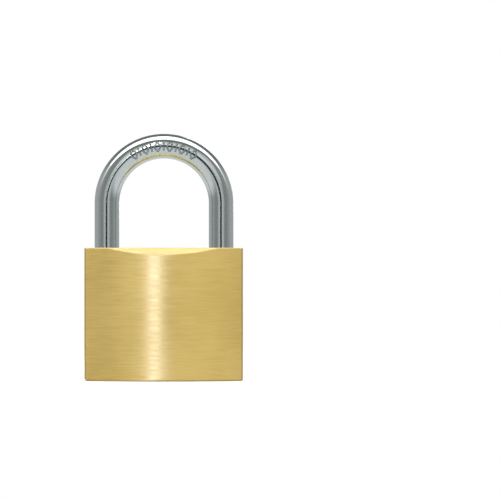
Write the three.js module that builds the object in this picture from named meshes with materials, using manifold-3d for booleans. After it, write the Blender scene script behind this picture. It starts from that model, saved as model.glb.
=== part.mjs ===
// A brass padlock, shut, standing on its bottom face. It is a solid brass block with slightly barrelled
// front and back faces, a chromed round-bar shackle, and a five-pin cylinder whose cam draws back two
// locking bolts.
// Millimetres. +Z is up, +X points from the heel leg to the toe leg, and -Y is the front.
// The origin is the middle of the bottom face.
// As modelled the key has been turned: the bolts are drawn back, and the shackle is still pushed home.
import * as THREE from "three";
import { mergeVertices } from "three/addons/utils/BufferGeometryUtils.js";
import Module from "manifold-3d";

const wasm = await Module();
wasm.setup();

// ---- Driving dimensions ----

const REST_GAP = 0.3; // kept between pieces that touch or rest on each other
const RUNNING_GAP = 0.1; // radial, between a piece and the bore it turns or slides in
const PRESS_GAP = 0.05; // radial, round a plug or pin that is pressed into the body
const PAST = 1; // how far a cutting shape reaches beyond the surface it cuts

const BODY_WIDTH = 50;
const BODY_HEIGHT = 42;
const BODY_THICKNESS = 19; // at the middle, where it is thickest
const FACE_RADIUS = 74; // of the barrelled front and back faces
const CORNER_RADIUS = 0.8; // of the four upright edges
const TOP_BEVEL = 2.2; // of the flat bevels on the top edges, at the middle of each face
const HEEL_FOOT_BEVEL = 0.8;
const TOE_FOOT_BEVEL = 0.5;

const ROD_RADIUS = 3.9;
const LEG_SPACING = 36.2;
const STRAIGHT_ABOVE_BODY = 14.1; // straight part of each leg between the body and the arch
const SHACKLE_LIFT = 14.6;
const TOE_CLEAR_OF_BODY = 1; // when the shackle is up
const COLLAR_HEIGHT = 4.3; // of the heel leg's end, below its neck
const NECK_RADIUS = 2.2;
const TOE_END_BEVEL = 1.2;
const HEEL_END_BEVEL = 0.6;
const LEG_HOLE_GAP = 0.25;
const LEG_HOLE_COUNTERSINK = 0.4;
const HEEL_HOLE_FLOOR = 3.5;

const BOLT_AXIS_Z = 34.5;
const BOLT_RADIUS = 3.2;
const BOLT_TRAVEL = 1.7;
const BOLT_INNER_FACE = 3.2; // distance of a bolt's inner face from the middle, when drawn back

const PLUG_RADIUS = 6;
const PLUG_FACE_Z = 0.4;
const PLUG_TOP_Z = 26.6;
const CAM_RADIUS = 4.6;
const CAM_TOP_Z = 29.4;
const CRANK_RADIUS = 0.75; // of the cam's two drive studs
const KEY_TURN = Math.PI / 2;

const CHAMBER_COUNT = 5;
const CHAMBER_PITCH = 3.7;
const FIRST_CHAMBER_Z = 5.2;
const CHAMBER_RADIUS = 1.5;
const PIN_RADIUS = 1.3;
const KEY_CUT_HEIGHTS = [1.9, 0.7, 2.5, 1.3, 0.1]; // where each key pin's tip stands, from the plug's axis
const DRIVER_LENGTH = 4.4;
const CHAMBER_PLUG_LENGTH = 3.4;
const DOWEL_RADIUS = 1.15; // of the two retaining pins

// ---- Places that follow from them ----

const HALF_WIDTH = BODY_WIDTH / 2;
const LEG_X = LEG_SPACING / 2;
const ARCH_Z = BODY_HEIGHT + STRAIGHT_ABOVE_BODY;
const TOE_END_Z = BODY_HEIGHT + TOE_CLEAR_OF_BODY - SHACKLE_LIFT;
const LEG_INNER_X = LEG_X - ROD_RADIUS;
const BOLT_TIP_X = LEG_INNER_X - REST_GAP;
const NOTCH_FLOOR_X = BOLT_TIP_X + BOLT_TRAVEL + REST_GAP;
const NOTCH_Z = [BOLT_AXIS_Z - BOLT_RADIUS - REST_GAP, BOLT_AXIS_Z + BOLT_RADIUS + REST_GAP];
const NECK_Z = [NOTCH_Z[0] - SHACKLE_LIFT, NOTCH_Z[1] - SHACKLE_LIFT];
const HEEL_END_Z = NECK_Z[0] - COLLAR_HEIGHT;
const STOP_PIN_Z = NECK_Z[0] + SHACKLE_LIFT + DOWEL_RADIUS + RUNNING_GAP;
const STOP_SLOT_FLOOR_X = -LEG_X - NECK_RADIUS - RUNNING_GAP;
const CAM_BOTTOM_Z = PLUG_TOP_Z + REST_GAP;
const CRANK_OFFSET = BOLT_TRAVEL / 2 / Math.sin(KEY_TURN / 2);
const PLUG_GROOVE_Z = FIRST_CHAMBER_Z + (CHAMBER_COUNT - 0.08) * CHAMBER_PITCH;
const PLUG_GROOVE_RADIUS = PLUG_RADIUS - 1;
const DRIVER_START_X = PLUG_RADIUS + 0.12;
const CHAMBER_PLUG_START_X = HALF_WIDTH - PRESS_GAP - CHAMBER_PLUG_LENGTH;
const BOLT_SPRING_Z = BOLT_AXIS_Z + 1.4;

const chamberHeights = Array.from({ length: CHAMBER_COUNT }, (_, i) => FIRST_CHAMBER_Z + i * CHAMBER_PITCH);

// ---- Materials ----

const brushedBrass = new THREE.MeshStandardMaterial({ color: 0xcdb16b, roughness: 0.35, metalness: 1 });
const turnedBrass = new THREE.MeshStandardMaterial({ color: 0xc9a85c, roughness: 0.3, metalness: 1 });
const chrome = new THREE.MeshStandardMaterial({ color: 0xb9bfc0, roughness: 0.15, metalness: 1 });
const hardSteel = new THREE.MeshStandardMaterial({ color: 0x8f9294, roughness: 0.4, metalness: 1 });
const springSteel = new THREE.MeshStandardMaterial({ color: 0xa2a5a8, roughness: 0.3, metalness: 1 });

// ---- Shapes ----

// A closed three.js geometry as a solid that can be joined and cut.
function solid(geometry) {
  const bare = geometry.index ? geometry.toNonIndexed() : geometry.clone();
  bare.deleteAttribute("normal");
  bare.deleteAttribute("uv");
  const merged = mergeVertices(bare, 1e-4);
  return new wasm.Manifold(
    new wasm.Mesh({
      numProp: 3,
      vertProperties: merged.getAttribute("position").array,
      triVerts: new Uint32Array(merged.index.array),
    }),
  );
}

// A named mesh from a solid.
function part(name, shape, material) {
  const { vertProperties, triVerts } = shape.getMesh();
  const geometry = new THREE.BufferGeometry();
  geometry.setAttribute("position", new THREE.BufferAttribute(vertProperties, 3));
  geometry.setIndex(new THREE.BufferAttribute(triVerts, 1));
  geometry.computeVertexNormals();
  const mesh = new THREE.Mesh(geometry, material);
  mesh.name = name;
  return mesh;
}

function box([x0, x1], [y0, y1], [z0, z1]) {
  const geometry = new THREE.BoxGeometry(x1 - x0, y1 - y0, z1 - z0);
  return solid(geometry.translate((x0 + x1) / 2, (y0 + y1) / 2, (z0 + z1) / 2));
}

// A round bar along Z at (x, y), as wide at its top as endRadius.
function uprightBar(radius, [z0, z1], { x = 0, y = 0, sides = 24, endRadius = radius } = {}) {
  const geometry = new THREE.CylinderGeometry(endRadius, radius, z1 - z0, sides).rotateX(Math.PI / 2);
  return solid(geometry.translate(x, y, (z0 + z1) / 2));
}

// A round bar along X at height z.
function levelBar(radius, [x0, x1], z, sides = 16) {
  const geometry = new THREE.CylinderGeometry(radius, radius, x1 - x0, sides).rotateZ(-Math.PI / 2);
  return solid(geometry.translate((x0 + x1) / 2, 0, z));
}

// A solid turned about Z from an outline of [radius, z] points. The outline starts and ends on the axis,
// or it closes on itself.
function turned(outline, sides) {
  const points = outline.map(([radius, z]) => new THREE.Vector2(radius, z));
  return solid(new THREE.LatheGeometry(points, sides).rotateX(Math.PI / 2));
}

// A prism of an outline of [a, b] points. Across X the points are [y, z], and across Y they are [x, z].
function prismAcrossX(outline, [x0, x1]) {
  const shape = new THREE.Shape(outline.map(([y, z]) => new THREE.Vector2(y, z)));
  const geometry = new THREE.ExtrudeGeometry(shape, { depth: x1 - x0, bevelEnabled: false });
  return solid(geometry.rotateX(Math.PI / 2).rotateZ(Math.PI / 2).translate(x0, 0, 0));
}

function prismAcrossY(outline, [y0, y1]) {
  const shape = new THREE.Shape(outline.map(([x, z]) => new THREE.Vector2(x, z)));
  const geometry = new THREE.ExtrudeGeometry(shape, { depth: y1 - y0, bevelEnabled: false });
  return solid(geometry.rotateX(Math.PI / 2).translate(0, y1, 0));
}

// A regular polygon as the section of a bar or a wire.
function roundSection(radius, sides) {
  const points = Array.from({ length: sides }, (_, i) => {
    const angle = (i / sides) * 2 * Math.PI;
    return new THREE.Vector2(radius * Math.cos(angle), radius * Math.sin(angle));
  });
  return new THREE.Shape(points);
}

// The centreline of a coil spring along Z, from z = 0.
class Helix extends THREE.Curve {
  constructor(radius, length, turns) {
    super();
    Object.assign(this, { radius, length, turns });
  }
  getPoint(t, target = new THREE.Vector3()) {
    const angle = t * this.turns * 2 * Math.PI;
    return target.set(this.radius * Math.cos(angle), this.radius * Math.sin(angle), t * this.length);
  }
}

// A coil spring from z = 0 to its length, standing up.
function coilSpring({ outerRadius, wireRadius, length, turns, stepsPerTurn = 7, wireSides = 5 }) {
  const line = new Helix(outerRadius - wireRadius, length - 2 * wireRadius, turns);
  const options = { steps: turns * stepsPerTurn, bevelEnabled: false, extrudePath: line };
  const geometry = new THREE.ExtrudeGeometry(roundSection(wireRadius, wireSides), options);
  return solid(geometry.translate(0, 0, wireRadius));
}

// Points on a circular arc, both ends included.
function arc(centreX, centreY, radius, from, to, steps) {
  return Array.from({ length: steps + 1 }, (_, i) => {
    const angle = from + ((to - from) * i) / steps;
    return new THREE.Vector2(centreX + radius * Math.cos(angle), centreY + radius * Math.sin(angle));
  });
}

// ---- Body ----

// The block seen from above: two barrelled faces, two flat sides and four rounded upright edges.
function bodyOutline() {
  const faceCentre = FACE_RADIUS - BODY_THICKNESS / 2;
  const cornerX = HALF_WIDTH - CORNER_RADIUS;
  const faceHalfAngle = Math.asin(cornerX / (FACE_RADIUS - CORNER_RADIUS));
  const cornerY = (FACE_RADIUS - CORNER_RADIUS) * Math.cos(faceHalfAngle) - faceCentre;
  const up = Math.PI / 2;
  const quarter = [
    ...arc(0, -faceCentre, FACE_RADIUS, up, up - faceHalfAngle, 10),
    ...arc(cornerX, cornerY, CORNER_RADIUS, up - faceHalfAngle, 0, 4).slice(1),
  ];
  const mirror = (points, sx, sy) => points.map((p) => new THREE.Vector2(p.x * sx, p.y * sy));
  const outline = [
    ...mirror(quarter, 1, -1),
    ...mirror(quarter, 1, 1).reverse(),
    ...mirror(quarter, -1, 1).slice(1),
    ...mirror(quarter, -1, -1).reverse().slice(0, -1),
  ];
  return new THREE.Shape(outline);
}

function legHole(x, floor) {
  const radius = ROD_RADIUS + LEG_HOLE_GAP;
  const mouth = [BODY_HEIGHT - LEG_HOLE_COUNTERSINK, BODY_HEIGHT + PAST];
  const countersink = uprightBar(radius, mouth, { x, sides: 32, endRadius: radius + mouth[1] - mouth[0] });
  return uprightBar(radius, [floor, BODY_HEIGHT + PAST], { x, sides: 32 }).add(countersink);
}

// The flat bevel along a top edge; side is -1 at the front and 1 at the back.
function topBevel(side) {
  const y = side * (BODY_THICKNESS / 2);
  const outline = [
    [y + side * PAST, BODY_HEIGHT - TOP_BEVEL - PAST],
    [y + side * PAST, BODY_HEIGHT + PAST],
    [y - side * (TOP_BEVEL + PAST), BODY_HEIGHT + PAST],
  ];
  return prismAcrossX(outline, [-HALF_WIDTH - PAST, HALF_WIDTH + PAST]);
}

// The small bevel at the foot of a narrow side; side is -1 at the heel and 1 at the toe.
function footBevel(side, size) {
  const x = side * HALF_WIDTH;
  const outline = [
    [x + side * PAST, -PAST],
    [x + side * PAST, size + PAST],
    [x - side * (size + PAST), -PAST],
  ];
  return prismAcrossY(outline, [-BODY_THICKNESS, BODY_THICKNESS]);
}

function body() {
  const outside = [HALF_WIDTH + PAST];
  const block = solid(new THREE.ExtrudeGeometry(bodyOutline(), { depth: BODY_HEIGHT, bevelEnabled: false }));
  const cuts = [
    topBevel(-1),
    topBevel(1),
    footBevel(-1, HEEL_FOOT_BEVEL),
    footBevel(1, TOE_FOOT_BEVEL),
    legHole(-LEG_X, HEEL_HOLE_FLOOR),
    legHole(LEG_X, TOE_END_Z - 2 * LEG_HOLE_GAP),
    uprightBar(PLUG_RADIUS + RUNNING_GAP, [-PAST, CAM_BOTTOM_Z], { sides: 40 }),
    uprightBar(CAM_RADIUS + REST_GAP, [PLUG_TOP_Z, BOLT_AXIS_Z - BOLT_RADIUS + PAST], { sides: 32 }),
    levelBar(BOLT_RADIUS + RUNNING_GAP, [-LEG_X, ...outside], BOLT_AXIS_Z, 32),
    ...chamberHeights.map((z) => levelBar(CHAMBER_RADIUS, [PLUG_GROOVE_RADIUS, ...outside], z)),
    levelBar(DOWEL_RADIUS + PRESS_GAP, [PLUG_GROOVE_RADIUS, ...outside], PLUG_GROOVE_Z),
    levelBar(DOWEL_RADIUS + PRESS_GAP, [-HALF_WIDTH - PAST, -LEG_X], STOP_PIN_Z),
  ];
  return part("body", cuts.reduce((left, cut) => left.subtract(cut), block), brushedBrass);
}

// The plug that closes the end of the bolt bore, ground flush with the toe side.
function boltBorePlug() {
  const legHoleWall = LEG_X + ROD_RADIUS + LEG_HOLE_GAP;
  const span = [legHoleWall + LEG_HOLE_GAP, HALF_WIDTH - PRESS_GAP];
  const radius = BOLT_RADIUS + RUNNING_GAP - PRESS_GAP;
  return part("bolt_bore_plug", levelBar(radius, span, BOLT_AXIS_Z, 32), turnedBrass);
}

// ---- Shackle ----

// The shackle's centreline, from the heel leg's end, over the arch, to the toe leg's end.
class ShackleLine extends THREE.Curve {
  getPoint(t, target = new THREE.Vector3()) {
    const heelLength = ARCH_Z - HEEL_END_Z;
    const archLength = Math.PI * LEG_X;
    const along = t * (heelLength + archLength + ARCH_Z - TOE_END_Z);
    if (along < heelLength) return target.set(-LEG_X, 0, HEEL_END_Z + along);
    const pastArch = along - heelLength - archLength;
    if (pastArch > 0) return target.set(LEG_X, 0, ARCH_Z - pastArch);
    const angle = Math.PI - (along - heelLength) / LEG_X;
    return target.set(LEG_X * Math.cos(angle), 0, ARCH_Z + LEG_X * Math.sin(angle));
  }
}

// The ring that a lathe would take off the end of a leg to bevel it.
function endBevelRing(x, z, size) {
  const inner = ROD_RADIUS - size;
  const outer = ROD_RADIUS + PAST;
  const outline = [
    [inner - PAST, z - PAST],
    [outer, z - PAST],
    [outer, z + size + PAST],
    [inner - PAST, z - PAST],
  ];
  return turned(outline, 24).translate([x, 0, 0]);
}

function shackle() {
  const path = new ShackleLine();
  const rod = new THREE.ExtrudeGeometry(roundSection(ROD_RADIUS, 20), {
    steps: 48,
    bevelEnabled: false,
    extrudePath: path,
  });
  const acrossLeg = [-ROD_RADIUS - PAST, ROD_RADIUS + PAST];
  const neck = [
    [NECK_RADIUS, NECK_Z[0]],
    [ROD_RADIUS + PAST, NECK_Z[0]],
    [ROD_RADIUS + PAST, NECK_Z[1]],
    [NECK_RADIUS, NECK_Z[1]],
    [NECK_RADIUS, NECK_Z[0]],
  ];
  const slotHalfWidth = DOWEL_RADIUS + REST_GAP;
  const stopSlot = box(
    [-LEG_X - ROD_RADIUS - PAST, STOP_SLOT_FLOOR_X],
    [-slotHalfWidth, slotHalfWidth],
    [NECK_Z[1] - PAST, STOP_PIN_Z + slotHalfWidth],
  );
  const cuts = [
    box([LEG_INNER_X - PAST, NOTCH_FLOOR_X], acrossLeg, NOTCH_Z),
    box([-NOTCH_FLOOR_X, -LEG_INNER_X + PAST], acrossLeg, NOTCH_Z),
    turned(neck, 24).translate([-LEG_X, 0, 0]),
    stopSlot,
    endBevelRing(LEG_X, TOE_END_Z, TOE_END_BEVEL),
    endBevelRing(-LEG_X, HEEL_END_Z, HEEL_END_BEVEL),
  ];
  return part("shackle", cuts.reduce((left, cut) => left.subtract(cut), solid(rod)), chrome);
}

// Pressed in from the heel side. Its tip rides in the heel leg's slot
// and stops the collar when the shackle is up.
function shackleStopPin() {
  const span = [-HALF_WIDTH + PRESS_GAP, STOP_SLOT_FLOOR_X - REST_GAP];
  return part("shackle_stop_pin", levelBar(DOWEL_RADIUS, span, STOP_PIN_Z), turnedBrass);
}

// Under the heel leg, squeezed nearly shut while the shackle is down.
function shackleSpring() {
  const length = HEEL_END_Z - HEEL_HOLE_FLOOR - 2 * RUNNING_GAP;
  const coil = coilSpring({ outerRadius: 3.5, wireRadius: 0.4, length, turns: 6, stepsPerTurn: 11 });
  const mesh = part("shackle_spring", coil, springSteel);
  mesh.position.set(-LEG_X, 0, HEEL_HOLE_FLOOR + RUNNING_GAP);
  return mesh;
}

// ---- Locking bolts ----

// The toe side's bolt, drawn back. A thin shelf runs from its inner face past the middle, beside the other
// bolt's shelf. The lug under the shelf's end is what the cam's stud pulls.
function boltShape() {
  const round = (from, to) => levelBar(BOLT_RADIUS, [from, to], BOLT_AXIS_Z, 32);
  const sideGap = RUNNING_GAP;
  const studReach = CRANK_OFFSET * Math.cos(KEY_TURN / 2) + CRANK_RADIUS;
  const lugFace = -studReach - RUNNING_GAP;
  const lugEnd = lugFace - 0.75;
  const shelfTop = BOLT_AXIS_Z - RUNNING_GAP;
  const shelfBottom = shelfTop - 0.75;
  const halfSide = [sideGap, BOLT_RADIUS + PAST];
  const shelf = round(lugEnd, BOLT_INNER_FACE + PAST).intersect(
    box([lugEnd - PAST, BOLT_INNER_FACE + PAST], halfSide, [shelfBottom, shelfTop]),
  );
  const lug = round(lugEnd, lugFace).intersect(
    box([lugEnd - PAST, lugFace + PAST], halfSide, [BOLT_AXIS_Z - BOLT_RADIUS - PAST, shelfTop]),
  );
  const snapBevel = [
    [BOLT_TIP_X + PAST, BOLT_AXIS_Z + 0.7 - PAST],
    [BOLT_TIP_X + PAST, BOLT_AXIS_Z + BOLT_RADIUS + PAST],
    [BOLT_TIP_X - BOLT_RADIUS - PAST + 0.7, BOLT_AXIS_Z + BOLT_RADIUS + PAST],
  ];
  return round(BOLT_INNER_FACE, BOLT_TIP_X)
    .add(shelf)
    .add(lug)
    .subtract(levelBar(1.4, [BOLT_INNER_FACE - PAST, 8.5], BOLT_SPRING_Z, 20))
    .subtract(prismAcrossY(snapBevel, [-BOLT_RADIUS - PAST, BOLT_RADIUS + PAST]));
}

// The two bolts are the same piece, one turned half round.
function bolts() {
  const toe = part("toe_bolt", boltShape(), hardSteel);
  const heel = part("heel_bolt", boltShape(), hardSteel);
  heel.rotation.z = Math.PI;
  return [toe, heel];
}

function boltSpring() {
  const length = 2 * 8.2;
  const coil = coilSpring({ outerRadius: 1.2, wireRadius: 0.2, length, turns: 10 });
  const mesh = part("bolt_spring", coil, springSteel);
  mesh.position.set(-length / 2, 0, BOLT_SPRING_Z);
  mesh.rotation.y = Math.PI / 2;
  return mesh;
}

// ---- Cylinder ----

// The keyway seen from below the lock, as [x, y]: three offset steps, so that only a grooved key enters.
const KEYWAY = [
  [-4.5, -1.1],
  [-2.9, -1.1],
  [-2.5, -0.3],
  [-1.4, -0.3],
  [-1.0, -1.1],
  [0.4, -1.1],
  [0.8, -0.4],
  [3.4, -0.4],
  [3.4, 1.1],
  [1.0, 1.1],
  [0.6, 0.5],
  [-0.9, 0.5],
  [-1.3, 1.1],
  [-4.5, 1.1],
];

const TONGUE = { halfLength: 3.5, halfWidth: 1.2, depth: 2.1 };

// The plug that the key turns, with its chambers towards +X as they are when the key goes in.
function plug() {
  const keywayShape = new THREE.Shape(KEYWAY.map(([x, y]) => new THREE.Vector2(x, y)));
  const tongueSlotFloor = CAM_BOTTOM_Z - TONGUE.depth - REST_GAP;
  const keywayDepth = tongueSlotFloor + PAST;
  const keyway = new THREE.ExtrudeGeometry(keywayShape, { depth: keywayDepth, bevelEnabled: false });
  const slotHalfLength = TONGUE.halfLength + REST_GAP;
  const slotHalfWidth = TONGUE.halfWidth + REST_GAP;
  const grooveHalfWidth = DOWEL_RADIUS + RUNNING_GAP;
  const groove = [
    [PLUG_GROOVE_RADIUS, PLUG_GROOVE_Z - grooveHalfWidth],
    [PLUG_RADIUS + PAST, PLUG_GROOVE_Z - grooveHalfWidth],
    [PLUG_RADIUS + PAST, PLUG_GROOVE_Z + grooveHalfWidth],
    [PLUG_GROOVE_RADIUS, PLUG_GROOVE_Z + grooveHalfWidth],
    [PLUG_GROOVE_RADIUS, PLUG_GROOVE_Z - grooveHalfWidth],
  ];
  const cuts = [
    solid(keyway.translate(0, 0, -PAST + PLUG_FACE_Z)),
    box(
      [-slotHalfLength, slotHalfLength],
      [-slotHalfWidth, slotHalfWidth],
      [tongueSlotFloor, PLUG_TOP_Z + PAST],
    ),
    turned(groove, 40),
    ...chamberHeights.map((z) => levelBar(CHAMBER_RADIUS - 0.05, [-0.6, PLUG_RADIUS + PAST], z)),
  ];
  const bar = uprightBar(PLUG_RADIUS, [PLUG_FACE_Z, PLUG_TOP_Z], { sides: 40 });
  return part("cylinder_plug", cuts.reduce((left, cut) => left.subtract(cut), bar), turnedBrass);
}

// The disc on the plug's inner end: a tongue below that the plug turns, and two drive studs above.
function cam() {
  const studs = [1, -1].map((side) => {
    const reach = side * CRANK_OFFSET;
    const place = { x: reach * Math.cos(KEY_TURN / 2), y: reach * Math.sin(KEY_TURN / 2), sides: 16 };
    return uprightBar(CRANK_RADIUS, [CAM_BOTTOM_Z + PAST, BOLT_AXIS_Z - 1.2], place);
  });
  const tongue = box(
    [-TONGUE.halfLength, TONGUE.halfLength],
    [-TONGUE.halfWidth, TONGUE.halfWidth],
    [CAM_BOTTOM_Z - TONGUE.depth, CAM_BOTTOM_Z + PAST],
  );
  const disc = uprightBar(CAM_RADIUS, [CAM_BOTTOM_Z, CAM_TOP_Z], { sides: 32 });
  return part("cam", studs.reduce((whole, stud) => whole.add(stud), disc.add(tongue)), hardSteel);
}

// A round pin lying along X from its tip to its head, pointed at the tip by `point` and bevelled at the head.
function tumbler(tipX, headX, point, z) {
  const bevel = 0.25;
  const outline = [
    [0, tipX],
    [PIN_RADIUS - point, tipX],
    [PIN_RADIUS, tipX + point],
    [PIN_RADIUS, headX - bevel],
    [PIN_RADIUS - bevel, headX],
    [0, headX],
  ];
  return turned(outline, 16).rotate([0, 90, 0]).translate([0, 0, z]);
}

// Key pins stand level with the plug's surface, as the cuts of the right key hold them.
function keyPins() {
  return chamberHeights.map((z, i) =>
    part("key_pin_" + (i + 1), tumbler(KEY_CUT_HEIGHTS[i], PLUG_RADIUS - 0.1, 0.9, z), turnedBrass),
  );
}

function driverPins() {
  return chamberHeights.map((z, i) => {
    const shape = tumbler(DRIVER_START_X, DRIVER_START_X + DRIVER_LENGTH, 0.25, z);
    return part("driver_pin_" + (i + 1), shape, hardSteel);
  });
}

function driverSprings() {
  const start = DRIVER_START_X + DRIVER_LENGTH + RUNNING_GAP;
  const length = CHAMBER_PLUG_START_X - RUNNING_GAP - start;
  return chamberHeights.map((z, i) => {
    const coil = coilSpring({ outerRadius: 1.25, wireRadius: 0.17, length, turns: 6 });
    const mesh = part("driver_spring_" + (i + 1), coil, springSteel);
    mesh.position.set(start, 0, z);
    mesh.rotation.y = Math.PI / 2;
    return mesh;
  });
}

// The plugs that close the pin chambers, ground flush with the toe side.
function chamberPlugs() {
  const span = [CHAMBER_PLUG_START_X, HALF_WIDTH - PRESS_GAP];
  return chamberHeights.map((z, i) =>
    part("chamber_plug_" + (i + 1), levelBar(CHAMBER_RADIUS - PRESS_GAP, span, z), turnedBrass),
  );
}

// Pressed in beside the chambers: its tip sits in the plug's groove and keeps the plug in.
function plugRetainingPin() {
  const span = [PLUG_GROOVE_RADIUS + RUNNING_GAP, HALF_WIDTH - PRESS_GAP];
  return part("plug_retaining_pin", levelBar(DOWEL_RADIUS, span, PLUG_GROOVE_Z), turnedBrass);
}

// ---- The whole padlock ----

// What turns with the key, already turned from the position where the key goes in.
const turning = new THREE.Group();
turning.rotation.z = KEY_TURN;
turning.add(plug(), cam(), ...keyPins());

const padlock = new THREE.Group();
padlock.add(
  body(),
  boltBorePlug(),
  shackle(),
  shackleStopPin(),
  shackleSpring(),
  ...bolts(),
  boltSpring(),
  turning,
  plugRetainingPin(),
  ...driverPins(),
  ...driverSprings(),
  ...chamberPlugs(),
);

export default padlock;
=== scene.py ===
"""The looks of a brass padlock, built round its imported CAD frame.

Sizes below are in millimetres and repeat the CAD's, and meshes are made in metres. +Z is up, the front
faces -Y, and +X points from the heel leg to the toe leg.
"""

import math

import bmesh
import bpy
from mathutils import Matrix, Vector


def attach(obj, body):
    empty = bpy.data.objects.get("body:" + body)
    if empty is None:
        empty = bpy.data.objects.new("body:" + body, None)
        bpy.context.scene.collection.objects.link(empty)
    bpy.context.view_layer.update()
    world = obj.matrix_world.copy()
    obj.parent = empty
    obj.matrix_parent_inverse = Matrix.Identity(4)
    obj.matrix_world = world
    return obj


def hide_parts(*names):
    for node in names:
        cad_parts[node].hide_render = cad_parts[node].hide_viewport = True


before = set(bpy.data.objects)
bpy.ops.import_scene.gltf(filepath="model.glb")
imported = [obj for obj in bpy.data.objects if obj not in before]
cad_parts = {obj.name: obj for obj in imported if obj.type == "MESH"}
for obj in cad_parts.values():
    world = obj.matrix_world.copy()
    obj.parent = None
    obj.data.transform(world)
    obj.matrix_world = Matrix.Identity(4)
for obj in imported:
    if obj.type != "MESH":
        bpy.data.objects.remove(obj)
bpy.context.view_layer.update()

# ---- Driving dimensions, in millimetres ----

MM = 0.001
REST_GAP = 0.3  # between pieces that rest on each other
RUNNING_GAP = 0.1  # round a piece that turns or slides in a bore
PRESS_GAP = 0.05  # round a plug or pin that is pressed into the body
PAST = 1  # how far a cutter reaches beyond what it cuts

HALF_WIDTH = 25.0
HEIGHT = 42.0
HALF_THICKNESS = 9.5  # at the middle, where the block is thickest
FACE_RADIUS = 74.0  # of the barrelled front and back
CORNER_RADIUS = 0.8  # of the upright edges
TOP_BEVEL = 2.2  # at the middle of each face
BEVEL_TURN_X = (17.0, 21.0)  # where the bevel goes from straight back to square off the face
EDGE_EASE = 0.3
FOOT_BEVELS = {-1: 0.8, 1: 0.5}  # heel side, toe side

ROD_RADIUS = 3.9
LEG_X = 18.1
STRAIGHT_ABOVE_BODY = 14.1
SHACKLE_LIFT = 14.6
TOE_CLEAR_OF_BODY = 1  # when the shackle is up
TOE_END_BEVEL = 1.2
TOE_RING_Z = 36  # of a ring of points on the plain rod, inside the block
COLLAR_HEIGHT = 4.3  # of the heel leg's end, below its neck
NECK_RADIUS = 2.2
HEEL_END_BEVEL = 0.6
HEEL_RING_Z = 30  # the same on the heel leg
TURNED_EASE = 0.25  # on the corners of the turned ends
HEEL_HOLE_FLOOR = 3.5
TOE_HOLE_BELOW_LEG = 0.5
NOTCH_REACH = 2.2  # of the notches' cutter, inwards from the rod
LEG_HOLE_GAP = 0.25
LEG_HOLE_COUNTERSINK = 0.4
STOP_PIN_TIP_X = 20.8
DOWEL_RADIUS = 1.15  # of the stop pin and the retaining pin

MARK_COUNT = 11
MARK_PITCH = 6.3  # degrees along the arch, from one mark to the next
MARK_HALF_SIZE = (3.3, 24.0)  # degrees along the arch and round the rod
STROKE_SHARE = 0.8  # a stroke's height as a share of a rhombus's
MARK_UP = -3.0  # how far up the front of the rod the row lies, in degrees
GROOVE_RADIUS = 0.3

BOLT_AXIS_Z = 34.5
BOLT_RADIUS = 3.2
BOLT_TRAVEL = 1.7
BOLT_INNER_X = 3.2
BOLT_SPRING_RISE = 1.4  # of its axis above the bolts'
BOLT_SPRING_HOLE = (2, 8.5)  # from inside the hook to the hole's floor
BOLT_SPRING_HOLE_RADIUS = 1.4
LUG_THICKNESS = 0.75
SIDE_PLUG_START_X = 22.5

PLUG_RADIUS = 6.0
PLUG_Z = (0.4, 26.6)
PLUG_FACE_BEVEL = 0.35
CAM_RADIUS = 4.6
CAM_TOP_Z = 29.4
TONGUE_HALF_SIZE = (3.5, 1.2)  # of the cam's tongue, along X and Y
TONGUE_DEPTH = 2.1  # how far it reaches below the disc
STUD_RADIUS = 0.75  # of the cam's two studs
STUD_SHORT_OF_AXIS = 1.2

CHAMBER_COUNT = 5
CHAMBER_PITCH = 3.7
FIRST_CHAMBER_Z = 5.2
CHAMBER_RADIUS = 1.5
CHAMBER_FLOOR_X = -0.6
PIN_RADIUS = 1.3
PIN_TIP_BEVEL = 0.9
KEY_CUT_HEIGHTS = [1.9, 0.7, 2.5, 1.3, 0.1]  # where each key pin's tip stands, from the plug's axis
DRIVER_LENGTH = 4.4
SHEAR_GAP = 0.12  # between the plug and the driver pins
GROOVE_SHORTFALL = 0.08  # how far the plug's groove is below a sixth chamber's place, in pitches
CHAMBER_PLUG_LENGTH = 3.4
KEYWAY = [  # its outline before the key is turned
    (-4.5, -1.1),
    (-2.9, -1.1),
    (-2.5, -0.3),
    (-1.4, -0.3),
    (-1.0, -1.1),
    (0.4, -1.1),
    (0.8, -0.4),
    (3.4, -0.4),
    (3.4, 1.1),
    (1.0, 1.1),
    (0.6, 0.5),
    (-0.9, 0.5),
    (-1.3, 1.1),
    (-4.5, 1.1),
]

BORE_COUNTERSINK = 0.12
BOLT_BORE_COUNTERSINK = 0.15
CAP_EASE = 0.1  # how far each piece's corners are eased
PLUG_EASE = 0.1
STUD_EASE = 0.12
SIDE_PLUG_EASE = 0.12
DOWEL_EASE = 0.15
BOLT_EASE = 0.2
CAM_EASE = 0.2
KEY_PIN_EASE = 0.22
DRIVER_EASE = 0.3

LEG_SPRING = {"outer_radius": 3.5, "wire_radius": 0.4, "length": 8.4, "turns": 6}
BOLT_SPRING = {"outer_radius": 1.2, "wire_radius": 0.2, "length": 16.4, "turns": 12}
PIN_SPRING = {"outer_radius": 1.25, "wire_radius": 0.17, "turns": 8}

# ---- Places that follow from them ----

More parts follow.
